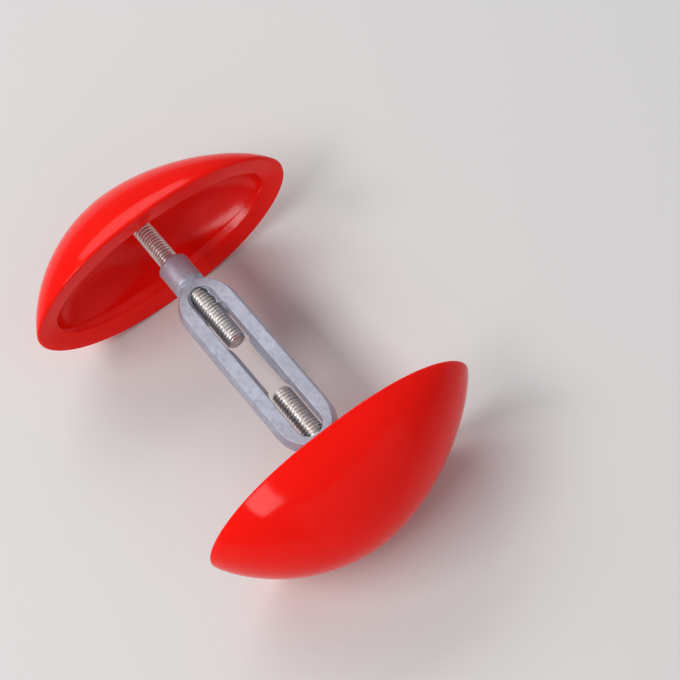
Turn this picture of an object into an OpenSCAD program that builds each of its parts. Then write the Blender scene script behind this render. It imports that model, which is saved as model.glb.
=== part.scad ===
// Screw-driven shoe stretcher that widens a shoe across the ball of the foot.
// Two hollow moulded pads press outwards. Each sits on a threaded stud, and an
// open die-cast turnbuckle with opposite threads drives both studs at once.
//
// The studs lie along X, the pads are long in Y, and Z points up. The origin is
// the middle of the whole stretcher, on the screw axis. Sizes are millimetres.

/* [Pads] */
// Length of a pad, from tip to tip
pad_len = 56; // [50:1:62]
// Height of a pad across the middle of its rim
pad_height = 31; // [29:0.5:34]
// Depth of a pad, from its rim to the crown of its back
pad_depth = 15.5; // [15:0.5:18]
// How far the crown of the back sits from the middle, towards the fuller tip
crown_shift = 2.8; // [0:0.2:4]
// Width of the band round the mouth of the hollow
rim_w = 4.6; // [4:0.1:5.4]
// How far the band dips from its outer edge to its inner edge
rim_dish = 0.7; // [0.3:0.1:1]
// Thickness of the pad behind the hollow
floor_t = 4; // [3.6:0.1:4.5]

/* [Boss that holds the stud's head] */
// Diameter of the boss on the floor of the hollow
boss_d = 10.8; // [10:0.2:12]
// Distance from the rim down to the top of the boss
boss_top = 9.5; // [9:0.1:10]

/* [Studs] */
// Thread diameter of a stud
stud_d = 3.9; // [3.8:0.05:4]
// Length of the right-hand stud, under its head
right_hand_len = 34; // [30:1:35]
// Length of the left-hand stud, under its head
left_hand_len = 28; // [26:1:30]
// Width of a stud's hexagonal head across its flats
head_flats = 7; // [6.4:0.1:7]
// Thickness of a stud's head
head_t = 2.8; // [2.4:0.1:3]
// Distance from the rim down to the underside of the head
head_seat = 10.4; // [10:0.1:10.6]
// Size of the chamfer on a stud's tip
tip_chamfer = 0.4; // [0.2:0.05:0.6]

/* [Turnbuckle] */
// Length of the turnbuckle, over both collars
frame_len = 53.8; // [50:0.2:56]
// Width over both side bars
frame_w = 11.4; // [11:0.1:12.4]
// Thickness of the side bars
bar_t = 4.5; // [4:0.1:5]
// How far the outer walls lean in from the parting line to each face
wall_lean = 0.75; // [0.4:0.05:0.9]
// Diameter of a collar
collar_d = 6.1; // [5.8:0.1:6.6]
// Length of a collar outside the shoulders
collar_len = 6; // [5:0.2:7]
// Radius of the rounded shoulders
shoulder_r = 8; // [7:0.5:9]
// Distance between the centres of the shoulders' arcs, along the screw axis
shoulder_span = 28.4; // [26:0.2:30]
// Length of the window, at its wide face
window_len = 37.6; // [34:0.2:38]
// Width of the window at the turnbuckle's two faces
window_w = 5.1; // [4.8:0.1:5.6]
// Width of the window at the parting line, halfway through
window_waist = 3.2; // [3:0.1:3.8]
// Length of the stretch between the studs where the side bars keep their waist
waist_len = 11; // [9:0.2:13]
// How far that stretch sits right of the turnbuckle's middle
waist_shift = 0.7; // [0:0.1:1]
// Width between the side bars where they are cut back to clear a stud
relief_w = 4.8; // [4.4:0.1:5]
// Length of the cut-back stretch beside the left stud
left_relief = 7.6; // [6:0.2:12]
// Length of the cut-back stretch beside the right stud
right_relief = 11; // [6:0.2:12]

/* [Setting] */
// Gap between the left pad's rim and the turnbuckle's end
left_gap = 2.6; // [0:0.1:12]
// How far the turnbuckle's other end reaches into the right pad's hollow
right_entry = 2; // [0:0.1:6]
// Radial clearance of every turning or sliding fit
running_gap = 0.05; // [0.03:0.01:0.1]

/* [Hidden] */

// The rims' places, first measured from the turnbuckle's own middle
left_rim_off = -frame_len / 2 - left_gap;
right_rim_off = frame_len / 2 - right_entry;
// The turnbuckle sits a little off the middle of the whole stretcher
frame_x = -(left_rim_off + right_rim_off) / 2;
left_rim_x = frame_x + left_rim_off;
right_rim_x = frame_x + right_rim_off;

stud_r = stud_d / 2;
bore_r = stud_r + running_gap;
head_corner_r = head_flats / 2 / cos(30);

// Shape of the pads: exponents of the outlines seen from the side and from above
rim_curve = [2.26, 1.75];
back_curve = [1.91, 1.21];
mouth_curve = [2, 1.97];
bowl_curve = [2, 1.6];
bowl_fullness = 2.3;
back_fullness = 2;
hollow_depth = pad_depth - floor_t - rim_dish;

// Cone that the drill leaves at the end of its run, and chamfer of the bore's mouth
drill_tip = 0.4;
mouth = 0.3;

// Mesh density of a pad: stations along it, and steps round each station
stations = 44;
steps = 18;

red_plastic = "#d4201b";
cast_zinc = "#a3a5b1";
plated_steel = "#c9c8c4";

cut = 1;
$fn = 96;

// Height of a curve of unit height that falls to nothing at t = 1 and t = -1
function swell(t, curve) = pow(max(0, 1 - pow(abs(t), curve[0])), 1 / curve[1]);

// Signed power, which keeps a curve symmetric about zero
function spow(v, e) = sign(v) * pow(abs(v), e);

// Place along the pad of station i, from -1 at one tip to 1 at the other
function station(i) = sin(-90 + 180 * i / stations);

// Ring of points across the pad at one station, from the upper rim to the lower
function across(y, half_h, depth, x0, fullness) = [
    for (j = [0:steps])
        let (a = 90 - 180 * j / steps)
        [x0 - depth * spow(cos(a), 2 / fullness), y, half_h * spow(sin(a), 2 / fullness)]
];

// Depth of the back at station t, with its crown moved towards the fuller tip
function back_depth(t) =
    let (s = 2 * crown_shift / pad_len)
    pad_depth * swell(t + s * (1 - t * t), back_curve);

function back_points() = [
    for (i = [1:stations - 1])
        let (t = station(i))
        each across(t * pad_len / 2, pad_height / 2 * swell(t, rim_curve),
                    back_depth(t), 0, back_fullness)
];

function hollow_points() = [
    for (i = [1:stations - 1])
        let (t = station(i))
        each across(t * (pad_len / 2 - rim_w),
                    (pad_height / 2 - rim_w) * swell(t, mouth_curve),
                    hollow_depth * swell(t, bowl_curve), -rim_dish, bowl_fullness)
];

// Faces of a surface that is swept along the stations and closed by a point at
// each tip. first is its first ring point, and tips are its two end points.
function sweep_faces(first, tips) =
    let (row = steps + 1, last = first + (stations - 2) * row)
    concat(
        [for (i = [0:stations - 3], j = [0:steps - 1])
            let (a = first + i * row + j)
            each [[a, a + 1, a + row], [a + 1, a + row + 1, a + row]]],
        [for (j = [0:steps - 1]) [tips[0], first + j + 1, first + j]],
        [for (j = [0:steps - 1]) [tips[1], last + j, last + j + 1]]
    );

function flipped(faces) = [for (f = faces) [f[0], f[2], f[1]]];

// Band between the rim of the back and the mouth of the hollow, on one side
function band_faces(outer, inner, outer_tips, inner_tips) =
    let (row = steps + 1, n = stations - 2)
    concat(
        [for (i = [0:n - 1])
            let (a = outer + i * row, b = inner + i * row)
            each [[a, a + row, b], [b, a + row, b + row]]],
        [[outer_tips[0], outer, inner], [outer_tips[0], inner, inner_tips[0]]],
        [[outer_tips[1], inner + n * row, outer + n * row],
         [outer_tips[1], inner_tips[1], inner + n * row]]
    );

// Moulded shell of a pad. Its rim lies at x = 0 and its back at negative x.
module pad_shell() {
    count = (stations - 1) * (steps + 1);
    outer_tips = [2 * count, 2 * count + 1];
    inner_tips = [2 * count + 2, 2 * count + 3];
    mouth_half = pad_len / 2 - rim_w;
    points = concat(
        back_points(),
        hollow_points(),
        [[0, -pad_len / 2, 0], [0, pad_len / 2, 0]],
        [[-rim_dish, -mouth_half, 0], [-rim_dish, mouth_half, 0]]
    );
    faces = concat(
        sweep_faces(0, outer_tips),
        flipped(sweep_faces(count, inner_tips)),
        band_faces(0, count, outer_tips, inner_tips),
        flipped(band_faces(steps, count + steps, outer_tips, inner_tips))
    );
    polyhedron(points = points, faces = faces, convexity = 4);
}

// Round bar along X, from x = a to x = b
module bar_x(r, a, b, r_end = undef) {
    translate([a, 0, 0])
        rotate([0, 90, 0])
            cylinder(h = b - a, r1 = r, r2 = is_undef(r_end) ? r : r_end);
}

// One pad with the boss that its stud's head is moulded into
module pad() {
    boss_root = -(pad_depth - 1.8);
    color(red_plastic)
        difference() {
            union() {
                pad_shell();
                bar_x(boss_d / 2, boss_root, -boss_top, boss_d / 2 - 0.3);
            }
            bar_x(bore_r, -head_seat - head_t, -boss_top + cut);
            bar_x(head_corner_r + running_gap,
                  -head_seat - head_t - running_gap, -head_seat + running_gap);
        }
}

// Stud with its head at x = 0 and below, and its chamfered tip at x = len
module stud(len) {
    color(plated_steel)
        union() {
            translate([-head_t, 0, 0])
                rotate([0, 90, 0])
                    cylinder(h = head_t, r = head_corner_r, $fn = 6);
            bar_x(stud_r, -head_t / 2, len - tip_chamfer);
            bar_x(stud_r, len - tip_chamfer, len, stud_r - tip_chamfer);
        }
}

// Disc whose wall leans in from its middle plane to both faces
module leaning_disc(r) {
    rotate_extrude()
        polygon([[0, -bar_t / 2], [r - wall_lean, -bar_t / 2], [r, 0],
                 [r - wall_lean, bar_t / 2], [0, bar_t / 2]]);
}

// Blank of the two side bars and their rounded shoulders, before the window
module frame_blank() {
    half = frame_w / 2;
    side = shoulder_r - half;
    rotate([90, 0, 90])
        linear_extrude(height = shoulder_span, center = true)
            polygon([[half, 0], [half - wall_lean, bar_t / 2], [wall_lean - half, bar_t / 2],
                     [-half, 0], [wall_lean - half, -bar_t / 2], [half - wall_lean, -bar_t / 2]]);
    for (x = [-1, 1] * shoulder_span / 2)
        translate([x, 0, 0])
            intersection() {
                translate([0, -side, 0]) leaning_disc(shoulder_r);
                translate([0, side, 0]) leaning_disc(shoulder_r);
            }
}

// Pair of cores that leave the window. They meet at the parting line, where
// the window has its waist, and draw out through the two faces.
module window_cores() {
    waist_r = window_waist / 2;
    lean = (window_w / 2 - waist_r) / (bar_t / 2);
    deep = bar_t / 2 + cut;
    deep_r = waist_r + lean * deep;
    span = window_len - window_w;
    rotate([90, 0, 90])
        linear_extrude(height = span, center = true)
            polygon([[deep_r, deep], [-deep_r, deep], [-waist_r, 0],
                     [-deep_r, -deep], [deep_r, -deep], [waist_r, 0]]);
    for (x = [-1, 1] * span / 2)
        translate([x, 0, 0])
            rotate_extrude()
                polygon([[0, -deep], [deep_r, -deep], [waist_r, 0], [deep_r, deep], [0, deep]]);
}

// Upright core with rounded corners, which cuts the side bars back beside a stud
module relief_core(len) {
    corner = 0.8;
    linear_extrude(height = bar_t + 2 * cut, center = true) {
        square([len, relief_w - 2 * corner], center = true);
        square([len - 2 * corner, relief_w], center = true);
        for (x = [-1, 1] * (len / 2 - corner), y = [-1, 1] * (relief_w / 2 - corner))
            translate([x, y]) circle(r = corner);
    }
}

// Bore that runs in from the left end to x = reach. It grooves both side bars,
// which are cut back beside the stud over the last stretch of that length.
module bored_from_left(reach, relief) {
    end = frame_len / 2;
    bar_x(bore_r + mouth + cut, -end - cut, -end + mouth, bore_r);
    bar_x(bore_r, -end, reach);
    bar_x(bore_r, reach, reach + drill_tip, bore_r - drill_tip);
    translate([reach - relief / 2, 0, 0]) relief_core(relief);
}

// Collar at the turnbuckle's right end, which tapers into the shoulders
module collar() {
    edge = 0.4;
    r = collar_d / 2;
    end = frame_len / 2;
    root = end - collar_len;
    bar_x(r, root, end - edge);
    bar_x(r, end - edge, end, r - edge);
    bar_x(bar_t / 2, root - r + bar_t / 2, root, r);
}

// Open die-cast turnbuckle with a tapped collar at each end
module turnbuckle_frame() {
    color(cast_zinc)
        translate([frame_x, 0, 0])
            difference() {
                union() {
                    frame_blank();
                    collar();
                    mirror([1, 0, 0]) collar();
                }
                window_cores();
                bored_from_left(waist_shift - waist_len / 2, left_relief);
                mirror([1, 0, 0]) bored_from_left(-waist_shift - waist_len / 2, right_relief);
            }
}

module right_hand_screw() {
    translate([left_rim_x - head_seat, 0, 0]) stud(right_hand_len);
}

module left_hand_screw() {
    translate([right_rim_x + head_seat, 0, 0]) rotate([0, 180, 0]) stud(left_hand_len);
}

module left_pad() {
    translate([left_rim_x, 0, 0]) pad();
}

module right_pad() {
    translate([right_rim_x, 0, 0]) rotate([0, 180, 0]) pad();
}

turnbuckle_frame();
right_hand_screw();
left_hand_screw();
left_pad();
right_pad();
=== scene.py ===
"""Finished looks of a screw-driven shoe stretcher: two glossy red pads, two
threaded studs and a die-cast turnbuckle, on a plain pale floor."""

import math

import bmesh
import bpy
from bpy.props import FloatProperty, FloatVectorProperty, IntProperty, PointerProperty
from mathutils import Matrix, Vector, noise


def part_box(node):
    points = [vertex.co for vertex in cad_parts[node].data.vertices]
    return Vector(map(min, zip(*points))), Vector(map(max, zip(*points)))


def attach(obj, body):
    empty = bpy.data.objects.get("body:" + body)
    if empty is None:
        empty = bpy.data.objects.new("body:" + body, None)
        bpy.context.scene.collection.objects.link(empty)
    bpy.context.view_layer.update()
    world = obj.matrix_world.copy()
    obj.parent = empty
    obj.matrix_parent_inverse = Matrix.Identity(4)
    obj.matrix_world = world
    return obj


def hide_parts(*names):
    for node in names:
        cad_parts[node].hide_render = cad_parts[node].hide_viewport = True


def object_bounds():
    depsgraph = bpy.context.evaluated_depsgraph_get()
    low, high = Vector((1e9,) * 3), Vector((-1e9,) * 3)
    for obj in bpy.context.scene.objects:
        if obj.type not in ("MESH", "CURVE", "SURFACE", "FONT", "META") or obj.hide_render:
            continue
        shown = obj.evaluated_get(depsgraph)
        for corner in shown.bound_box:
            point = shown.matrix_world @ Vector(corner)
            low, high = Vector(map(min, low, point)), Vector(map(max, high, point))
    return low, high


bl_info = {
    "name": "Shoe stretcher looks",
    "version": (1, 0, 0),
    "blender": (4, 5, 0),
    "location": "3D View > Sidebar > Stretcher",
    "description": "Makes the finished pieces, materials and stage of a shoe stretcher",
    "category": "Add Mesh",
}

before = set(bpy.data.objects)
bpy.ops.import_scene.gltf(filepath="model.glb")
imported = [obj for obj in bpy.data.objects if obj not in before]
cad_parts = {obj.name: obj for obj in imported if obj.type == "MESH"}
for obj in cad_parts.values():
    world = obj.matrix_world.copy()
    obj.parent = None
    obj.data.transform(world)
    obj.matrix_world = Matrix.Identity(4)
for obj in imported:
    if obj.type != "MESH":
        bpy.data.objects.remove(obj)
CAD_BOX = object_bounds()

MM = 0.001

# The pads' unit curves, as the two exponents that swell() and on_outline() take
RIM_CURVE = (2.26, 1.75)
BACK_CURVE = (1.91, 1.21)
MOUTH_CURVE = (2.0, 1.97)
BOWL_CURVE = (2.0, 1.6)
LIP_CURVE = (2.5, 1.7)
# Exponents of the hollow's cross-section, full in the middle and flared towards its
# ends, and how soon the one turns into the other along its half-length
BOWL_FULLNESS = 2.3
BOWL_FLARE = 0.85
FLARE_RATE = 1.35
# Points of a pad's section outside its hollow, from the crown to the rim's inner edge.
# The seam's are how far forward and how proud, in heights of the seam
BACK_RINGS = 44
SEAM_PROFILE = ((0.4, 0.0), (1.6, 1.0), (2.8, 1.0), (4.0, 0.0))
EDGE_POINTS = 6
BAND_POINTS = 6
LIP_POINTS = 4
RIM_POINTS = BACK_RINGS + len(SEAM_PROFILE) + EDGE_POINTS + BAND_POINTS + LIP_POINTS
# Points inside the hollow, down the steep strip and over the floor to the boss
STRIP_SHARES = (0.25, 0.5, 0.75, 0.95, 1.0)
FLOOR_RINGS = 30
FOOT_POINTS = 6
BOSS_EDGE_POINTS = 6
# Nearly a quarter turn, whose sine sets the back's rings closer where it is steeper
BACK_TURN = math.pi / 2 * 0.97
# Rounds of halving that find where the back meets its seam
HALVINGS = 40
# Depth below the boss's top and radius of its flat and its bore, in millimetres
BORE_PROFILE = ((0.0, 4.4), (0.0, 3.2), (0.0, 2.35), (0.06, 2.2), (0.25, 2.0))
# Depth below the head's seat and radius of the pocket for the head, in millimetres
POCKET_PROFILE = ((-0.05, 2.0), (-0.05, 4.12), (2.85, 4.12), (2.85, 2.0))
# Half-height in metres under which an outline counts as closed
CLOSED = 1e-9
# Shares of half a pitch at which the thread leaves its crest and reaches its root
CREST_END, ROOT_START = 0.08, 0.84
# Rounds of smoothing for the casting, and for the softer copy that finds its edges
FINE_ROUNDS, SOFT_ROUNDS = 3, 14
# How far an edge of the casting stands over that copy where it is fully rubbed and painted
# brightest as a highlight
FULL_EDGE = 0.12 * MM
# The burr's torn edge and its root in the window's wall, in millimetres
BURR_EDGE = ((-15.9, 1.5, 2.3), (-15.3, 1.85, 2.2), (-14.3, 1.6, 1.75), (-13.4, 1.75, 1.6),
             (-12.6, 1.8, 1.6), (-11.6, 1.65, 1.6), (-11.0, 2.2, 2.3), (-10.0, 2.55, 2.55),
             (-9.2, 2.55, 2.5), (-8.6, 2.35, 2.3))
BURR_ROOT = ((-16.0, 2.2, 1.6), (-15.3, 2.5, 1.6), (-14.4, 2.45, 1.1), (-13.4, 2.4, 1.0),
             (-12.6, 2.4, 1.0), (-11.6, 2.4, 1.1), (-11.0, 2.6, 1.7), (-10.0, 2.75, 1.9),
             (-9.2, 2.75, 1.9), (-8.5, 2.7, 1.8))
# Points from one of these to the next, and the chip's place and half width among them
BURR_STEPS = 12
CHIP_AT = 7


def srgb(code):
    """Linear colour of an sRGB hex code such as "#d4201b"."""
    values = [int(code[i:i + 2], 16) / 255 for i in (1, 3, 5)]
    return tuple(v / 12.92 if v <= 0.04045 else ((v + 0.055) / 1.055) ** 2.4 for v in values)


def length_property(name, description, default):
    """A length in metres that the panel shows in the scene's units."""
    return FloatProperty(name=name, description=description, default=default,
                         subtype="DISTANCE", unit="LENGTH", precision=5)


def colour_property(name, description, code):
    """A colour that the panel shows as a swatch, from an sRGB hex code."""
    return FloatVectorProperty(name=name, description=description, default=srgb(code),
                               subtype="COLOR", min=0.0, max=1.0)


class PadProperties(bpy.types.PropertyGroup):
    """Sizes and colour of the moulded pads."""

    rim_width: length_property("Rim width", "Width of the band round the mouth", 4.6 * MM)
    rim_dish: length_property("Rim dish", "How far the band dips towards the hollow", 0.7 * MM)
    rim_crown: length_property("Rim crown", "How far the band bulges in its middle", 0.05 * MM)
    edge_round: length_property("Edge round", "Radius of the rim's outer edge", 0.32 * MM)
    seam: length_property("Mould seam", "How far the mould's seam stands proud", 0.04 * MM)
    lip_round: length_property("Lip round", "Radius of the rim's inner edge", 0.14 * MM)
    lip_drop: length_property("Lip drop", "Depth of the steep strip inside that edge", 1.9 * MM)
    lip_step: length_property("Lip step", "How far that strip reaches into the hollow", 0.7 * MM)
    hollow: length_property("Hollow", "Depth of the hollow below the rim's inner edge", 10.8 * MM)
    crown_shift: length_property("Crown shift", "How far the crown sits from the middle", 2.8 * MM)
    boss_radius: length_property("Boss radius", "Radius of the boss round the stud", 5.4 * MM)
    boss_foot: length_property("Boss foot", "How far the boss flares at its foot", 0.9 * MM)
    boss_edge: length_property("Boss edge", "Radius of the boss's upper edge", 0.3 * MM)
    boss_top: length_property("Boss top", "Distance from the rim down to the boss", 9.5 * MM)
    head_seat: length_property("Head seat", "Distance from the rim down to the head", 10.4 * MM)
    colour: colour_property("Plastic", "Colour of the moulded plastic", "#fd150a")


class StudProperties(bpy.types.PropertyGroup):
    """Sizes and colour of the threaded studs."""

    radius: length_property("Radius", "Outer radius of the thread", 1.95 * MM)
    pitch: length_property("Pitch", "Distance from one thread to the next", 0.7 * MM)
    depth: length_property("Thread depth", "Depth of the thread", 0.4 * MM)
    chamfer: length_property("Tip chamfer", "Chamfer on the stud's tip", 0.4 * MM)
    dish: length_property("End dish", "Depth of the dip in the cropped end", 0.06 * MM)
    head_height: length_property("Head height", "Thickness of the hexagonal head", 2.8 * MM)
    head_bevel: length_property("Head bevel", "Bevel on the head's edges", 0.2 * MM)
    turn_steps: IntProperty(name="Steps a turn", description="Faces round a stud",
                            default=48, min=12, max=96)
    pitch_steps: IntProperty(name="Steps a pitch", description="Faces along one thread",
                             default=12, min=6, max=24)
    colour: colour_property("Plating", "Colour of the plated steel", "#eeece8")
    bare: colour_property("Bare end", "Colour of the stud's cropped end", "#756a64")


class TurnbuckleProperties(bpy.types.PropertyGroup):
    """Finish and colour of the die-cast turnbuckle."""

    grain: length_property("Mesh grain", "Size of the faces that round the edges", 0.15 * MM)
    swell: length_property("Skin swell", "Height of the casting's long waves", 0.035 * MM)
    colour: colour_property("Casting", "Colour of the cast zinc", "#b7b9c7")


class StageProperties(bpy.types.PropertyGroup):
    """Floor colour and camera."""

    floor: colour_property("Floor", "Colour of the floor", "#dfdcd9")
    azimuth: FloatProperty(name="Azimuth", description="Camera's turn round the object",
                           default=math.radians(69.17), subtype="ANGLE")
    elevation: FloatProperty(name="Elevation", description="Camera's height above the horizon",
                             default=math.radians(62.14), subtype="ANGLE")
    roll: FloatProperty(name="Roll", description="Camera's turn about its own line of sight",
                        default=math.radians(-18.24), subtype="ANGLE")
    distance: length_property("Distance", "From the camera to the point it looks at", 329.3 * MM)
    aim: FloatVectorProperty(name="Aim", description="Point that the camera looks at",
                             default=(8.34 * MM, 14.16 * MM, 0.0), subtype="TRANSLATION")
    lens: FloatProperty(name="Lens", description="Focal length on a 36 mm sensor, in millimetres",
                        default=98.57)


def add_node(tree, kind, inputs=(), **settings):
    """Adds a node, with its settings, and sets or links the inputs given by name or number."""
    made = tree.nodes.new(kind)
    for name, value in settings.items():
        setattr(made, name, value)
    for key, value in dict(inputs).items():
        if isinstance(value, bpy.types.NodeSocket):
            tree.links.new(value, made.inputs[key])
        else:
            made.inputs[key].default_value = value
    return made


def per_mm(size):
    """Scale of a texture whose features are size millimetres apart."""
    return 1.0 / (size * MM)


def new_material(name):
    """An empty material, with its tree, its shader and its Object coordinates."""
    material = bpy.data.materials.new(name)
    material.use_nodes = True
    tree = material.node_tree
    tree.nodes.clear()
    shader = add_node(tree, "ShaderNodeBsdfPrincipled")
    add_node(tree, "ShaderNodeOutputMaterial", {"Surface": shader.outputs["BSDF"]})
    place = add_node(tree, "ShaderNodeTexCoord").outputs["Object"]
    return material, tree, shader, place


def noise_of(tree, place, size, detail=4.0, roughness=0.5):
    """Noise with features size millimetres apart, as a value socket."""
    made = add_node(tree, "ShaderNodeTexNoise",
                    {"Vector": place, "Scale": per_mm(size), "Detail": detail,
                     "Roughness": roughness})
    return made.outputs["Fac"]


def remap(tree, value, low, high, to_low, to_high):
    """value, spread from low..high to to_low..to_high and held inside it."""
    made = add_node(tree, "ShaderNodeMapRange",
                    {"Value": value, "From Min": low, "From Max": high,
                     "To Min": to_low, "To Max": to_high})
    return made.outputs["Result"]


def math_of(tree, operation, first, second):
    """Result of a math node, as a value socket."""
    made = add_node(tree, "ShaderNodeMath", {0: first, 1: second}, operation=operation)
    return made.outputs[0]


def blend_of(tree, factor, first, second):
    """first where factor is 0 and second where it is 1."""
    made = add_node(tree, "ShaderNodeMix", {"Factor": factor}, data_type="RGBA")
    for key, value in ((6, first), (7, second)):
        if isinstance(value, bpy.types.NodeSocket):
            tree.links.new(value, made.inputs[key])
        else:
            made.inputs[key].default_value = (*value, 1.0)
    return made.outputs[2]


def two_tone(tree, value, low, high, first, second):
    """first where value is under low, second where it is over high, and a blend between."""
    return blend_of(tree, remap(tree, value, low, high, 0.0, 1.0), first, second)


def shade(colour, factor):
    """colour made darker or lighter by factor."""
    return tuple(min(1.0, c * factor) for c in colour)


def bump_of(tree, layers):
    """Stacked bumps from (height socket, depth in millimetres) pairs, as a normal socket."""
    normal = None
    for height, depth in layers:
        inputs = {"Height": height, "Distance": depth * MM, "Strength": 1.0}
        if normal is not None:
            inputs["Normal"] = normal
        normal = add_node(tree, "ShaderNodeBump", inputs).outputs["Normal"]
    return normal


def moulded_plastic(colour):
    """Injection-moulded high-impact polystyrene, polished in the mould. It is glossy,
    with the slight orange peel of a moulded skin and hairline scuffs from handling.
    In the hollow, where the attribute "hollow" is 1, the mould was only eroded, so the
    skin is finely grained and its reflections are broader."""
    material, tree, shader, place = new_material("moulded_red_polystyrene")
    cloud = noise_of(tree, place, 14.0, 3.0)
    peel = noise_of(tree, place, 2.4, 2.0)
    grain = noise_of(tree, place, 0.35, 3.0)
    hollow = add_node(tree, "ShaderNodeAttribute", attribute_name="hollow").outputs["Fac"]
    spark = math_of(tree, "MULTIPLY", noise_of(tree, place, 0.45, 2.0), hollow)
    stretched = add_node(tree, "ShaderNodeMapping",
                         {"Vector": place, "Rotation": (0.5, 0.3, 0.7), "Scale": (1.0, 0.05, 1.0)})
    scuffs = noise_of(tree, stretched.outputs["Vector"], 0.3, 2.0)
    scuffed = remap(tree, scuffs, 0.66, 0.76, 0.0, 1.0)
    tone = two_tone(tree, cloud, 0.3, 0.7, shade(colour, 0.94), colour)
    pale = tuple(c * 0.8 + 0.06 for c in colour)
    faint = math_of(tree, "MULTIPLY", scuffed, 0.16)
    tree.links.new(blend_of(tree, faint, tone, pale), shader.inputs["Base Color"])
    gloss = remap(tree, cloud, 0.3, 0.7, 0.09, 0.15)
    gloss = math_of(tree, "ADD", gloss, math_of(tree, "MULTIPLY", scuffed, 0.12))
    gloss = math_of(tree, "ADD", gloss, math_of(tree, "MULTIPLY", hollow, 0.08))
    tree.links.new(gloss, shader.inputs["Roughness"])
    shader.inputs["IOR"].default_value = 1.59
    # Outside, the mirror share is kept low, or the pale floor would veil the red
    mirror = remap(tree, hollow, 0.0, 1.0, 0.1, 0.25)
    tree.links.new(mirror, shader.inputs["Specular IOR Level"])
    shader.inputs["Subsurface Weight"].default_value = 0.25
    shader.inputs["Subsurface Radius"].default_value = (1.0, 0.12, 0.08)
    shader.inputs["Subsurface Scale"].default_value = 1.6 * MM
    normal = bump_of(tree, [(peel, 0.02), (grain, 0.0018), (scuffs, 0.002), (spark, 0.03)])
    tree.links.new(normal, shader.inputs["Normal"])
    return material


def cast_zinc(colour):
    """Zinc die casting as it leaves the tumbler. The skin is a satin grey with fine
    pits, cold-flow clouds and dark specks. The attribute "edge" is above 0 on edges, which are
    rubbed smoother and painted brighter as a highlight, and below 0 in corners, which are painted
    darker as shade."""
    material, tree, shader, place = new_material("die_cast_zinc")
    cloud = noise_of(tree, place, 5.0, 4.0, 0.6)
    mottle = noise_of(tree, place, 0.9, 4.0, 0.6)
    grit = noise_of(tree, place, 0.28, 3.0)
    pits = add_node(tree, "ShaderNodeTexVoronoi", {"Vector": place, "Scale": per_mm(0.75)})
    pitted = remap(tree, pits.outputs["Distance"], 0.08, 0.22, 1.0, 0.0)
    edge = add_node(tree, "ShaderNodeAttribute", attribute_name="edge").outputs["Fac"]
    rubbed_edge_and_highlight = remap(tree, edge, 0.25, 1.0, 0.0, 1.0)
    corner_shade = remap(tree, edge, -0.9, -0.2, 1.0, 0.0)
    tone = two_tone(tree, cloud, 0.32, 0.68, shade(colour, 0.84), shade(colour, 1.06))
    tone = blend_of(tree, remap(tree, mottle, 0.5, 0.7, 0.0, 0.6), tone, shade(colour, 0.66))
    tone = blend_of(tree, math_of(tree, "MULTIPLY", pitted, 0.35), tone, shade(colour, 0.45))
    # Painted shade: corners are drawn darker where shade would fall
    tone = blend_of(tree, math_of(tree, "MULTIPLY", corner_shade, 0.45), tone, shade(colour, 0.4))
    # Edges are rubbed smoother and also painted brighter as a highlight
    tone = blend_of(tree, math_of(tree, "MULTIPLY", rubbed_edge_and_highlight, 0.55), tone, shade(colour, 1.4))
    tree.links.new(tone, shader.inputs["Base Color"])
    satin = remap(tree, mottle, 0.3, 0.7, 0.42, 0.58)
    satin = math_of(tree, "SUBTRACT", satin, math_of(tree, "MULTIPLY", rubbed_edge_and_highlight, 0.14))
    tree.links.new(satin, shader.inputs["Roughness"])
    shader.inputs["Metallic"].default_value = 0.55
    normal = bump_of(tree, [(mottle, 0.05), (grit, 0.012), (pitted, -0.02)])
    tree.links.new(normal, shader.inputs["Normal"])
    return material


def torn_zinc_with_painted_light(colour):
    """Zinc torn by a drill. It is ragged and painted darker than the cast skin, as shade for the
    shadow it lies in, and its rolled-over edge, where the attribute "edge" is 1, is painted white
    as a highlight."""
    material, tree, shader, place = new_material("torn_zinc_with_painted_light")
    tear = noise_of(tree, place, 0.25, 4.0, 0.7)
    edge = add_node(tree, "ShaderNodeAttribute", attribute_name="edge").outputs["Fac"]
    # Painted shade and highlight: the torn zinc is drawn dark for the shadow it lies in, and its
    # edge white
    tone = two_tone(tree, tear, 0.35, 0.65, shade(colour, 0.35), shade(colour, 0.7))
    tone = two_tone(tree, edge, 0.3, 0.7, tone, srgb("#ffffff"))
    tree.links.new(tone, shader.inputs["Base Color"])
    tree.links.new(remap(tree, tear, 0.3, 0.7, 0.2, 0.4), shader.inputs["Roughness"])
    shader.inputs["Metallic"].default_value = 0.5
    tree.links.new(bump_of(tree, [(tear, 0.03)]), shader.inputs["Normal"])
    return material


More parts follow.
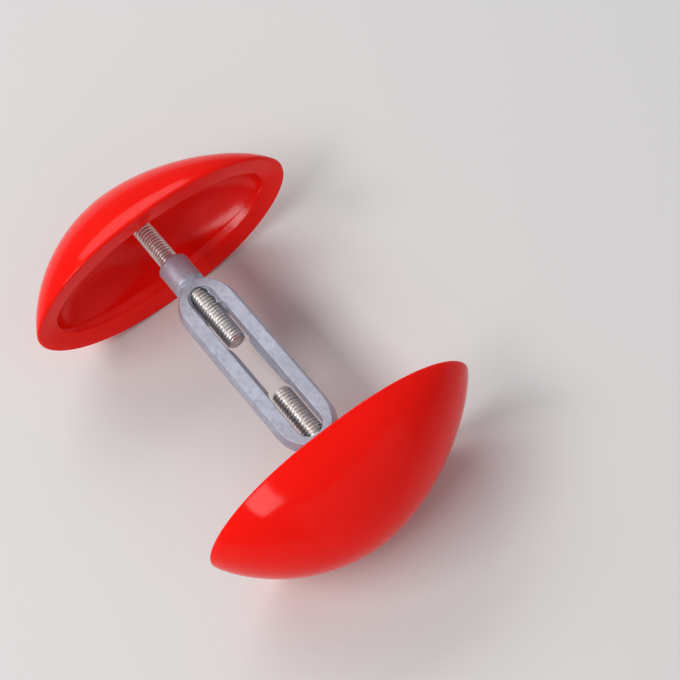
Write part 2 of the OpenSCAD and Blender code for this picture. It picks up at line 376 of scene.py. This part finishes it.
def plated_steel(colour):
    """Rolled steel thread with bright nickel plating. The crests are burnished, and
    the roots are coloured a darker grey and made a little rougher."""
    material, tree, shader, place = new_material("nickel_plated_steel")
    parts = add_node(tree, "ShaderNodeSeparateXYZ", {"Vector": place})
    across = add_node(tree, "ShaderNodeCombineXYZ",
                      {"Y": parts.outputs["Y"], "Z": parts.outputs["Z"]})
    radius = add_node(tree, "ShaderNodeVectorMath", {0: across.outputs["Vector"]},
                      operation="LENGTH").outputs["Value"]
    # The root lies at a radius of 1.55 mm and the crest at 1.95 mm
    root = remap(tree, radius, 1.56 * MM, 1.75 * MM, 1.0, 0.0)
    smear = noise_of(tree, place, 1.1, 4.0, 0.6)
    grain = noise_of(tree, place, 0.16, 3.0)
    tone = two_tone(tree, smear, 0.35, 0.7, colour, shade(colour, 0.88))
    # Darker grey and rougher towards the thread's roots
    root_darkening = math_of(tree, "MULTIPLY", root, remap(tree, smear, 0.3, 0.7, 0.25, 0.7))
    tone = blend_of(tree, root_darkening, tone, srgb("#5a5450"))
    tree.links.new(tone, shader.inputs["Base Color"])
    bright = remap(tree, smear, 0.3, 0.75, 0.26, 0.36)
    tree.links.new(math_of(tree, "ADD", bright, math_of(tree, "MULTIPLY", root_darkening, 0.25)),
                   shader.inputs["Roughness"])
    shader.inputs["Metallic"].default_value = 1.0
    tree.links.new(bump_of(tree, [(smear, 0.006), (grain, 0.001)]), shader.inputs["Normal"])
    return material


def cropped_steel(colour):
    """Steel cropped after plating. The stud's end is bare, torn across and tarnished."""
    material, tree, shader, place = new_material("cropped_steel_end")
    tear = noise_of(tree, place, 0.5, 4.0, 0.6)
    grain = noise_of(tree, place, 0.15, 3.0)
    tone = two_tone(tree, tear, 0.35, 0.65, shade(colour, 0.8), shade(colour, 1.15))
    tree.links.new(tone, shader.inputs["Base Color"])
    tree.links.new(remap(tree, tear, 0.3, 0.7, 0.4, 0.55), shader.inputs["Roughness"])
    shader.inputs["Metallic"].default_value = 1.0
    tree.links.new(bump_of(tree, [(tear, 0.03), (grain, 0.006)]), shader.inputs["Normal"])
    return material


def floor_paper(colour):
    """Matt studio paper. Its tooth is drawn coarse enough to take the light evenly."""
    material, tree, shader, place = new_material("studio_paper")
    tooth = noise_of(tree, place, 0.8, 3.0)
    cloud = noise_of(tree, place, 120.0, 2.0)
    tree.links.new(blend_of(tree, cloud, shade(colour, 0.99), colour), shader.inputs["Base Color"])
    shader.inputs["Roughness"].default_value = 0.85
    tree.links.new(bump_of(tree, [(tooth, 0.01)]), shader.inputs["Normal"])
    return material


def mesh_object(name, mesh):
    """Object of mesh, at the origin and linked to the scene."""
    made = bpy.data.objects.new(name, mesh)
    bpy.context.scene.collection.objects.link(made)
    return made


def baked(source, name):
    """A plain mesh of source with its modifiers applied. source is removed."""
    graph = bpy.context.evaluated_depsgraph_get()
    mesh = bpy.data.meshes.new_from_object(source.evaluated_get(graph))
    mesh.name = name
    bpy.data.objects.remove(source)
    return mesh


def smooth_shaded(mesh, angle=35.0):
    """Shades mesh smooth, but keeps its edges sharper than angle in degrees."""
    mesh.shade_smooth()
    mesh.set_sharp_from_angle(angle=math.radians(angle))


def swell(t, curve):
    """Height of a unit curve that falls to nothing at t = -1 and t = 1."""
    return max(0.0, 1.0 - abs(t) ** curve[0]) ** (1.0 / curve[1])


def on_outline(angle, half_length, half_height, curve):
    """Point (y, z) of a rim outline."""
    c, s = math.cos(angle), math.sin(angle)
    return Vector((half_length * math.copysign(abs(c) ** (2 / curve[0]), c),
                   half_height * math.copysign(abs(s) ** (2 / curve[1]), s)))


class PadShape:
    """Surfaces of one pad, with its rim at x = 0 and its back at negative x."""

    def __init__(self, sizes):
        low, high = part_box("left_pad")
        self.rim_x = high.x
        self.half = Vector(((high.y - low.y) / 2, (high.z - low.z) / 2))
        self.depth = high.x - low.x
        self.sizes = sizes
        self.mouth = self.half - Vector((sizes.rim_width, sizes.rim_width))
        # The strip is narrower at the pad's two ends
        self.crease = self.mouth - Vector((0.3 * sizes.lip_step, sizes.lip_step))

    def back(self, y, z):
        """How far the back lies behind the rim at (y, z)."""
        t = y / self.half.x
        shift = self.sizes.crown_shift / self.half.x
        height = self.half.y * swell(t, RIM_CURVE)
        if height < CLOSED:
            return 0.0
        deep = self.depth * swell(t + shift * (1 - t * t), BACK_CURVE)
        return deep * math.sqrt(max(0.0, 1 - (z / height) ** 2))

    def lip(self, y):
        """Depth of the steep strip at y. It runs out towards the pad's ends."""
        drop = self.sizes.lip_drop * swell(y / self.crease.x, LIP_CURVE)
        return max(drop, 2 * self.sizes.lip_round)

    def bowl(self, y, z):
        """How far the hollow's floor lies behind the rim at (y, z)."""
        sizes = self.sizes
        t = y / self.crease.x
        height = self.crease.y * swell(t, MOUTH_CURVE)
        start = sizes.rim_dish + self.lip(y)
        if height < CLOSED:
            return start
        deep = (sizes.hollow - self.lip(y)) * swell(t, BOWL_CURVE)
        full = max(0.0, 1 - abs(z / height) ** BOWL_FULLNESS) ** (1 / BOWL_FULLNESS)
        flared = max(0.0, 1 - (z / height) ** 2) ** BOWL_FLARE
        share = min(1.0, FLARE_RATE * abs(t))
        return start + deep * (full + (flared - full) * share * share * (3 - 2 * share))

    def reach(self, outline, depth):
        """Share of the outline at which the back has risen to depth."""
        low, high = 0.0, 1.0
        for _ in range(HALVINGS):
            middle = (low + high) / 2
            point = outline * middle
            if self.back(point.x, point.y) > depth:
                low = middle
            else:
                high = middle
        return low

    def section(self, angle):
        """Points from the crown of the back, round the rim, to the hollow's middle."""
        sizes = self.sizes
        outline = on_outline(angle, self.half.x, self.half.y, RIM_CURVE)
        mouth = on_outline(angle, self.mouth.x, self.mouth.y, MOUTH_CURVE)
        crease = on_outline(angle, self.crease.x, self.crease.y, MOUTH_CURVE)
        inward = (mouth - outline).normalized()
        points = []

        # The seam runs just behind the rounded edge
        seam_depth = sizes.edge_round + 5 * sizes.seam
        share = self.reach(outline, seam_depth)
        for k in range(1, BACK_RINGS + 1):
            spread = share * math.sin(BACK_TURN * k / BACK_RINGS) / math.sin(BACK_TURN)
            place = outline * spread
            points.append((-self.back(place.x, place.y), place))
        wall = points[-1][1] + inward * sizes.seam
        for forward, proud in SEAM_PROFILE:
            points.append((-seam_depth + sizes.seam * forward,
                           wall - inward * sizes.seam * proud))

        radius = sizes.edge_round
        centre = wall + inward * radius
        tilt = math.atan2(sizes.rim_dish, sizes.rim_width)
        for k in range(EDGE_POINTS):
            turn = (math.pi / 2 + tilt) * k / (EDGE_POINTS - 1)
            points.append((-radius + radius * math.sin(turn),
                           centre - inward * (radius * math.cos(turn))))

        start_x, start = points[-1]
        lip = mouth - inward * sizes.lip_round
        for k in range(1, BAND_POINTS + 1):
            share = k / BAND_POINTS
            crown = sizes.rim_crown * math.sin(math.pi * share)
            points.append((start_x + (-sizes.rim_dish - start_x) * share + crown,
                           start.lerp(lip, share)))
        for k in range(1, LIP_POINTS + 1):
            turn = math.pi / 2 * k / LIP_POINTS
            points.append((-sizes.rim_dish - sizes.lip_round * (1 - math.cos(turn)),
                           lip + inward * (sizes.lip_round * math.sin(turn))))
        drop = self.lip(crease.x) - sizes.lip_round
        for share in STRIP_SHARES:
            points.append((-sizes.rim_dish - sizes.lip_round - drop * share,
                           mouth.lerp(crease, share)))

        points += self.floor_and_boss(angle, crease)
        return [Vector((x, place.x, place.y)) for x, place in points]

    def floor_and_boss(self, angle, crease):
        """Points from the crease over the hollow's floor, up the boss and into its bore."""
        sizes = self.sizes
        outward = Vector((math.cos(angle), math.sin(angle)))
        foot_r = sizes.boss_radius + sizes.boss_foot
        foot = outward * foot_r
        points = []
        for k in range(1, FLOOR_RINGS + 1):
            place = crease.lerp(foot, math.sin(math.pi / 2 * k / FLOOR_RINGS) ** 2)
            points.append((-self.bowl(place.x, place.y), place))
        foot_x = points[-1][0]
        rise = max(-sizes.boss_top - foot_x, 0.2 * MM)
        for k in range(1, FOOT_POINTS + 1):
            turn = math.pi / 2 * k / FOOT_POINTS
            points.append((foot_x + 0.55 * rise * (1 - math.cos(turn)),
                           outward * (foot_r - (foot_r - sizes.boss_radius) * math.sin(turn))))
        edge = min(sizes.boss_edge, 0.4 * rise)
        top = -sizes.boss_top
        for k in range(BOSS_EDGE_POINTS):
            turn = math.pi / 2 * k / (BOSS_EDGE_POINTS - 1)
            points.append((top - edge + edge * math.sin(turn),
                           outward * (sizes.boss_radius - edge + edge * math.cos(turn))))
        for start_x, profile in ((top, BORE_PROFILE), (-sizes.head_seat, POCKET_PROFILE)):
            for depth, radius in profile:
                points.append((start_x - depth * MM, outward * (radius * MM)))
        return points


def pad_shell(shape, around=320):
    """Closed mesh of a pad: its shell, the boss for the stud and the bore in the boss.
    The attribute "hollow" is 1 where the surface belongs to the hollow."""
    mesh = bmesh.new()
    hollow = mesh.verts.layers.float.new("hollow")
    rows = []
    for k in range(around):
        points = shape.section(2 * math.pi * (k + 0.5) / around)
        rows.append([mesh.verts.new(p) for p in points])
        for vertex in rows[-1][RIM_POINTS:]:
            vertex[hollow] = 1.0
    crown = mesh.verts.new((-shape.back(0, 0), 0, 0))
    floor = mesh.verts.new((rows[0][-1].co.x, 0, 0))
    for k in range(around):
        here, after = rows[k], rows[(k + 1) % around]
        mesh.faces.new((crown, after[0], here[0]))
        mesh.faces.new((floor, here[-1], after[-1]))
        for j in range(len(here) - 1):
            mesh.faces.new((here[j], after[j], after[j + 1], here[j + 1]))
    bmesh.ops.recalc_face_normals(mesh, faces=mesh.faces)
    return mesh


def as_mesh(made, name):
    """Mesh made from a bmesh, which is freed."""
    mesh = bpy.data.meshes.new(name)
    made.to_mesh(mesh)
    made.free()
    return mesh


class STRETCHER_OT_pads(bpy.types.Operator):
    """Make the two moulded pads"""

    bl_idname = "stretcher.pads"
    bl_label = "Pads"

    def execute(self, context):
        sizes = context.scene.stretcher_pads
        shape = PadShape(sizes)
        mesh = as_mesh(pad_shell(shape), "pad")
        smooth_shaded(mesh)
        mesh.materials.append(moulded_plastic(sizes.colour))
        faces_right = Matrix.Translation((-shape.rim_x, 0, 0)) @ Matrix.Rotation(math.pi, 4, "Y")
        faces_left = Matrix.Translation((shape.rim_x, 0, 0))
        for body, place in (("left_pad", faces_left), ("right_pad", faces_right)):
            own = mesh.copy()
            own.transform(place)
            piece = mesh_object(body + "_moulding", own)
            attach(piece, body)
            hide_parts(body)
        return {"FINISHED"}


def thread_tree():
    """Geometry Nodes tree of a threaded rod along X, which starts at x = 0."""
    tree = bpy.data.node_groups.new("threaded_rod", "GeometryNodeTree")
    tree.interface.new_socket("Geometry", in_out="OUTPUT", socket_type="NodeSocketGeometry")
    for name in ("Length", "Radius", "Pitch", "Depth", "Chamfer", "Hand"):
        tree.interface.new_socket(name, in_out="INPUT", socket_type="NodeSocketFloat")
    for name in ("Length Steps", "Turn Steps"):
        tree.interface.new_socket(name, in_out="INPUT", socket_type="NodeSocketInt")
    tree.interface.new_socket("Material", in_out="INPUT", socket_type="NodeSocketMaterial")
    given = add_node(tree, "NodeGroupInput").outputs

    def calc(operation, *values):
        return add_node(tree, "ShaderNodeMath", enumerate(values), operation=operation).outputs[0]

    grid = add_node(tree, "GeometryNodeMeshGrid",
                    {"Size X": given["Length"], "Size Y": 2 * math.pi,
                     "Vertices X": given["Length Steps"], "Vertices Y": given["Turn Steps"]})
    flat = add_node(tree, "ShaderNodeSeparateXYZ",
                    {0: add_node(tree, "GeometryNodeInputPosition").outputs[0]}).outputs
    along = calc("ADD", flat["X"], calc("MULTIPLY", given["Length"], 0.5))
    turns = calc("DIVIDE", flat["Y"], 2 * math.pi)
    phase = calc("FRACT", calc("SUBTRACT", calc("DIVIDE", along, given["Pitch"]),
                               calc("MULTIPLY", turns, given["Hand"])))
    from_crest = calc("ABSOLUTE", calc("SUBTRACT", calc("MULTIPLY", phase, 2.0), 1.0))
    cut = add_node(tree, "ShaderNodeMapRange",
                   {"Value": from_crest, "From Min": CREST_END, "From Max": ROOT_START,
                    "To Min": 0.0, "To Max": given["Depth"]}, interpolation_type="SMOOTHSTEP")
    thread = calc("SUBTRACT", given["Radius"], cut.outputs["Result"])
    cone = calc("ADD", calc("SUBTRACT", given["Radius"], given["Chamfer"]),
                calc("SUBTRACT", given["Length"], along))
    radius = calc("MINIMUM", thread, cone)
    place = add_node(tree, "ShaderNodeCombineXYZ",
                     {"X": along, "Y": calc("MULTIPLY", radius, calc("COSINE", flat["Y"])),
                      "Z": calc("MULTIPLY", radius, calc("SINE", flat["Y"]))})
    rolled = add_node(tree, "GeometryNodeSetPosition",
                      {"Geometry": grid.outputs["Mesh"], "Position": place.outputs["Vector"]})
    welded = add_node(tree, "GeometryNodeMergeByDistance",
                      {"Geometry": rolled.outputs["Geometry"], "Distance": 0.002 * MM})
    real = add_node(tree, "GeometryNodeRealizeInstances", {"Geometry": welded.outputs["Geometry"]})
    dressed = add_node(tree, "GeometryNodeSetMaterial",
                       {"Geometry": real.outputs["Geometry"], "Material": given["Material"]})
    add_node(tree, "NodeGroupOutput", {"Geometry": dressed.outputs["Geometry"]})
    return tree


def threaded_rod(tree, inputs):
    """Plain mesh of the rod that tree makes from named inputs."""
    rod = mesh_object("rod", bpy.data.meshes.new("rod"))
    modifier = rod.modifiers.new("thread", "NODES")
    modifier.node_group = tree
    sockets = {s.name: s.identifier for s in tree.interface.items_tree if s.in_out == "INPUT"}
    for name, value in inputs.items():
        modifier[sockets[name]] = value
    return baked(rod, "rod")


def close_ends(mesh, dish):
    """Caps the rod's two open ends with fans of bare steel that dip by dish."""
    rod = bmesh.new()
    rod.from_mesh(mesh)
    ends = {}
    for edge in [e for e in rod.edges if e.is_boundary]:
        ends.setdefault(round(edge.verts[0].co.x / MM), []).append(edge)
    for edges in ends.values():
        ring = list({v for e in edges for v in e.verts})
        middle_x = sum(v.co.x for v in ring) / len(ring)
        inward = -dish if middle_x > MM else dish
        centre = rod.verts.new((middle_x + inward, 0, 0))
        for edge in edges:
            rod.faces.new((edge.verts[0], edge.verts[1], centre)).material_index = 1
    bmesh.ops.recalc_face_normals(rod, faces=rod.faces)
    return rod


def add_hex_head(rod, corner_radius, height, bevel):
    """Adds the hexagonal head behind x = 0, as a closed prism with bevelled edges."""
    head = bmesh.ops.create_cone(rod, cap_ends=True, segments=6, radius1=corner_radius,
                                 radius2=corner_radius, depth=height)
    place = Matrix.Translation((-height / 2, 0, 0)) @ Matrix.Rotation(math.pi / 2, 4, "Y")
    bmesh.ops.transform(rod, matrix=place, verts=head["verts"])
    rims = {e for v in head["verts"] for e in v.link_edges}
    bmesh.ops.bevel(rod, geom=list(rims), offset=bevel, segments=2, affect="EDGES", profile=0.5)


class STRETCHER_OT_studs(bpy.types.Operator):
    """Make the right-hand and the left-hand threaded stud"""

    bl_idname = "stretcher.studs"
    bl_label = "Threaded studs"

    def execute(self, context):
        sizes = context.scene.stretcher_studs
        material = plated_steel(sizes.colour)
        bare = cropped_steel(sizes.bare)
        tree = thread_tree()
        for node, body, hand in (("right_hand_screw", "right_hand_stud", 1.0),
                                 ("left_hand_screw", "left_hand_stud", -1.0)):
            low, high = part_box(node)
            rod_length = high.x - low.x - sizes.head_height
            mesh = threaded_rod(tree, {
                "Length": rod_length, "Radius": sizes.radius, "Pitch": sizes.pitch,
                "Depth": sizes.depth, "Chamfer": sizes.chamfer, "Hand": hand,
                "Length Steps": int(rod_length / sizes.pitch * sizes.pitch_steps) + 1,
                "Turn Steps": sizes.turn_steps + 1, "Material": material})
            rod = close_ends(mesh, sizes.dish)
            add_hex_head(rod, (high.z - low.z) / 2, sizes.head_height, sizes.head_bevel)
            rod.to_mesh(mesh)
            rod.free()
            # x = 0 of a rod goes to the inner face of its head, and one rod turns round
            if node == "right_hand_screw":
                mesh.transform(Matrix.Translation((low.x + sizes.head_height, 0, 0)))
            else:
                mesh.transform(Matrix.Translation((high.x - sizes.head_height, 0, 0))
                               @ Matrix.Rotation(math.pi, 4, "Z"))
            mesh.materials.append(bare)
            smooth_shaded(mesh, 50.0)
            piece = mesh_object(node + "_thread", mesh)
            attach(piece, body)
            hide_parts(node)
        return {"FINISHED"}


def remeshed(source, grain, rounds):
    """Mesh of source on an even grid of faces, with its edges rounded off."""
    copy = mesh_object("casting", source.data.copy())
    weld = bmesh.new()
    weld.from_mesh(copy.data)
    bmesh.ops.remove_doubles(weld, verts=weld.verts, dist=0.001 * MM)
    weld.to_mesh(copy.data)
    weld.free()
    voxels = copy.modifiers.new("grid", "REMESH")
    voxels.mode = "VOXEL"
    voxels.voxel_size = grain
    ease = copy.modifiers.new("ease", "SMOOTH")
    ease.factor = 0.5
    ease.iterations = rounds
    return baked(copy, "casting")


def casting_mesh(sizes):
    """Mesh of the turnbuckle with rounded edges and long skin waves. Its attribute
    "edge" is about 1 on edges and -1 in corners, from how far a smoother copy sinks."""
    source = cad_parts["turnbuckle_frame"]
    mesh = remeshed(source, sizes.grain, FINE_ROUNDS)
    eased = remeshed(source, sizes.grain, SOFT_ROUNDS)
    places = [v.co.copy() for v in mesh.vertices]
    normals = [v.normal.copy() for v in mesh.vertices]
    edge = mesh.attributes.new("edge", "FLOAT", "POINT")
    stands = [(p - v.co).dot(n) / FULL_EDGE for p, n, v in zip(places, normals, eased.vertices)]
    edge.data.foreach_set("value", stands)
    # Waves of two sizes, which sink the skin and leave it inside the CAD's box
    moved = []
    for place, normal in zip(places, normals):
        wave = noise.noise(place * per_mm(3.5)) + 0.5 * noise.noise(place * per_mm(1.3))
        moved.extend(place + normal * (sizes.swell * 0.5 * (wave - 1)))
    mesh.vertices.foreach_set("co", moved)
    bpy.data.meshes.remove(eased)
    return mesh


class STRETCHER_OT_turnbuckle(bpy.types.Operator):
    """Make the die-cast turnbuckle"""

    bl_idname = "stretcher.turnbuckle"
    bl_label = "Turnbuckle"

    def execute(self, context):
        sizes = context.scene.stretcher_turnbuckle
        mesh = casting_mesh(sizes)
        mesh.shade_smooth()
        mesh.materials.clear()
        mesh.materials.append(cast_zinc(sizes.colour))
        piece = mesh_object("turnbuckle_casting", mesh)
        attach(piece, "turnbuckle")
        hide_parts("turnbuckle_frame")
        return {"FINISHED"}


def burr_line(points):
    """A smooth curve through points, with BURR_STEPS points from each one to the next."""
    ends = [points[0] * 2 - points[1], *points, points[-1] * 2 - points[-2]]
    line = []
    for k in range(len(points) - 1):
        a, b, c, d = ends[k:k + 4]
        for j in range(BURR_STEPS):
            t = j / BURR_STEPS
            line.append(0.5 * (2 * b + (c - a) * t + (2 * a - 5 * b + 4 * c - d) * t * t
                               + (3 * b - a - 3 * c + d) * t * t * t))
    return line + [points[-1]]


def burr_mesh(roots, edges):
    """Closed ragged fin from its root in the wall to its thin, torn edge. The attribute
    "edge" is 1 on the torn edge, where a highlight is painted. Near its start a chip is left
    standing on that edge."""
    mesh = bmesh.new()
    painted_edge_highlight = mesh.verts.layers.float.new("edge")
    rows = []
    line = list(zip(burr_line(roots), burr_line(edges)))
    for k, (root, edge) in enumerate(line):
        # Small tears and curls along the edge, which runs into the wall at both ends
        ragged = noise.noise_vector(edge * per_mm(0.55)) * 0.16 * MM
        curl = noise.noise(edge * per_mm(0.9)) * 0.12 * MM
        fade = min(1.0, k / 4, (len(line) - 1 - k) / 4)
        edge = root.lerp(edge + ragged, 0.25 + 0.75 * fade)
        middle = root.lerp(edge, 0.75) + Vector((0, 0, curl - 0.1 * MM))
        # The fin is thick at its root and thin in its middle, with a rolled-over edge
        chip = 0.14 * MM * max(0.0, 1 - abs(k - CHIP_AT) / CHIP_AT)
        thick = (0.13 * MM, 0.06 * MM, 0.1 * MM + chip)
        upper = [p + Vector((0, 0, t)) for p, t in zip((root, middle, edge), thick)]
        lower = [p - Vector((0, 0, t)) for p, t in zip((root, middle, edge), thick)]
        rows.append([mesh.verts.new(p) for p in upper + lower[::-1]])
        # A painted highlight: full on the torn edge, fainter on the upper face next to it
        rows[-1][2][painted_edge_highlight] = rows[-1][3][painted_edge_highlight] = 1.0
        rows[-1][1][painted_edge_highlight] = 0.6
    for here, after in zip(rows, rows[1:]):
        for k in range(6):
            j = (k + 1) % 6
            mesh.faces.new((here[k], here[j], after[j], after[k]))
    mesh.faces.new(rows[0])
    mesh.faces.new(rows[-1][::-1])
    bmesh.ops.recalc_face_normals(mesh, faces=mesh.faces)
    return mesh


class STRETCHER_OT_burr(bpy.types.Operator):
    """Make the fin of zinc that the boring left beside the right-hand stud"""

    bl_idname = "stretcher.burr"
    bl_label = "Burr"

    def execute(self, context):
        sizes = context.scene.stretcher_turnbuckle
        edges = [Vector(p) * MM for p in BURR_EDGE]
        roots = [Vector(p) * MM for p in BURR_ROOT]
        mesh = as_mesh(burr_mesh(roots, edges), "burr")
        smooth_shaded(mesh)
        mesh.materials.append(torn_zinc_with_painted_light(sizes.colour))
        piece = mesh_object("turnbuckle_burr", mesh)
        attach(piece, "turnbuckle")
        return {"FINISHED"}


def window_light(name, place, size, power):
    """Soft rectangular light, aimed at the origin."""
    data = bpy.data.lights.new(name, "AREA")
    data.shape = "RECTANGLE"
    data.size, data.size_y = size
    data.energy = power
    light = bpy.data.objects.new(name, data)
    bpy.context.scene.collection.objects.link(light)
    light.location = place
    light.rotation_euler = (-Vector(place)).to_track_quat("-Z", "Y").to_euler()


def add_camera(sizes):
    """Camera at the photograph's place, looking at the aim point."""
    a, e = sizes.azimuth, sizes.elevation
    back = Vector((math.sin(a) * math.cos(e), -math.cos(a) * math.cos(e), math.sin(e)))
    level = (-back).cross(Vector((0, 0, 1))).normalized()
    upright = level.cross(-back)
    right = level * math.cos(sizes.roll) + upright * math.sin(sizes.roll)
    up = upright * math.cos(sizes.roll) - level * math.sin(sizes.roll)
    data = bpy.data.cameras.new("camera")
    data.lens = sizes.lens
    data.sensor_width = 36.0
    data.clip_start = 0.01
    data.clip_end = 20.0
    camera = bpy.data.objects.new("camera", data)
    bpy.context.scene.collection.objects.link(camera)
    turn = Matrix((right, up, back)).transposed().to_4x4()
    camera.matrix_world = Matrix.Translation(Vector(sizes.aim) + back * sizes.distance) @ turn
    bpy.context.scene.camera = camera


class STRETCHER_OT_stage(bpy.types.Operator):
    """Make the floor, the soft studio light and the camera"""

    bl_idname = "stretcher.stage"
    bl_label = "Stage"

    def execute(self, context):
        sizes = context.scene.stretcher_stage
        bpy.ops.mesh.primitive_plane_add(size=4.0, location=(0, 0, CAD_BOX[0].z))
        floor = context.object
        floor.name = "floor"
        floor.data.materials.append(floor_paper(sizes.floor))

        world = bpy.data.worlds.new("studio")
        world.use_nodes = True
        background = world.node_tree.nodes["Background"]
        background.inputs["Color"].default_value = (*srgb("#eef2fb"), 1.0)
        background.inputs["Strength"].default_value = 0.33
        context.scene.world = world

        window_light("back_window", (-0.63, 0.02, 0.63), (0.8, 0.26), 2.6)
        window_light("side_fill", (1.1, 0.1, 0.5), (1.7, 1.2), 2.4)
        window_light("front_window", (-0.03, -0.56, 0.70), (0.7, 0.3), 4.8)
        add_camera(sizes)
        context.scene.view_settings.view_transform = "Standard"
        return {"FINISHED"}


class STRETCHER_PT_panel(bpy.types.Panel):
    """Lists the steps that make the stretcher"""

    bl_idname = "STRETCHER_PT_panel"
    bl_label = "Shoe stretcher"
    bl_space_type = "VIEW_3D"
    bl_region_type = "UI"
    bl_category = "Stretcher"

    def draw(self, context):
        for step in STEPS:
            self.layout.operator(step.bl_idname)


STEPS = (STRETCHER_OT_stage, STRETCHER_OT_pads, STRETCHER_OT_studs, STRETCHER_OT_turnbuckle,
         STRETCHER_OT_burr)
GROUPS = {
    "stretcher_pads": PadProperties,
    "stretcher_studs": StudProperties,
    "stretcher_turnbuckle": TurnbuckleProperties,
    "stretcher_stage": StageProperties,
}


def register():
    for cls in (*GROUPS.values(), *STEPS, STRETCHER_PT_panel):
        bpy.utils.register_class(cls)
    for name, group in GROUPS.items():
        setattr(bpy.types.Scene, name, PointerProperty(type=group))


def unregister():
    for name in GROUPS:
        delattr(bpy.types.Scene, name)
    for cls in (STRETCHER_PT_panel, *reversed(STEPS), *GROUPS.values()):
        bpy.utils.unregister_class(cls)


def main():
    """Makes every piece in order."""
    register()
    for existing in [o for o in bpy.data.objects if o.type in ("CAMERA", "LIGHT")]:
        bpy.data.objects.remove(existing)
    bpy.ops.stretcher.stage()
    bpy.ops.stretcher.pads()
    bpy.ops.stretcher.studs()
    bpy.ops.stretcher.turnbuckle()
    bpy.ops.stretcher.burr()


if __name__ == "__main__":
    main()
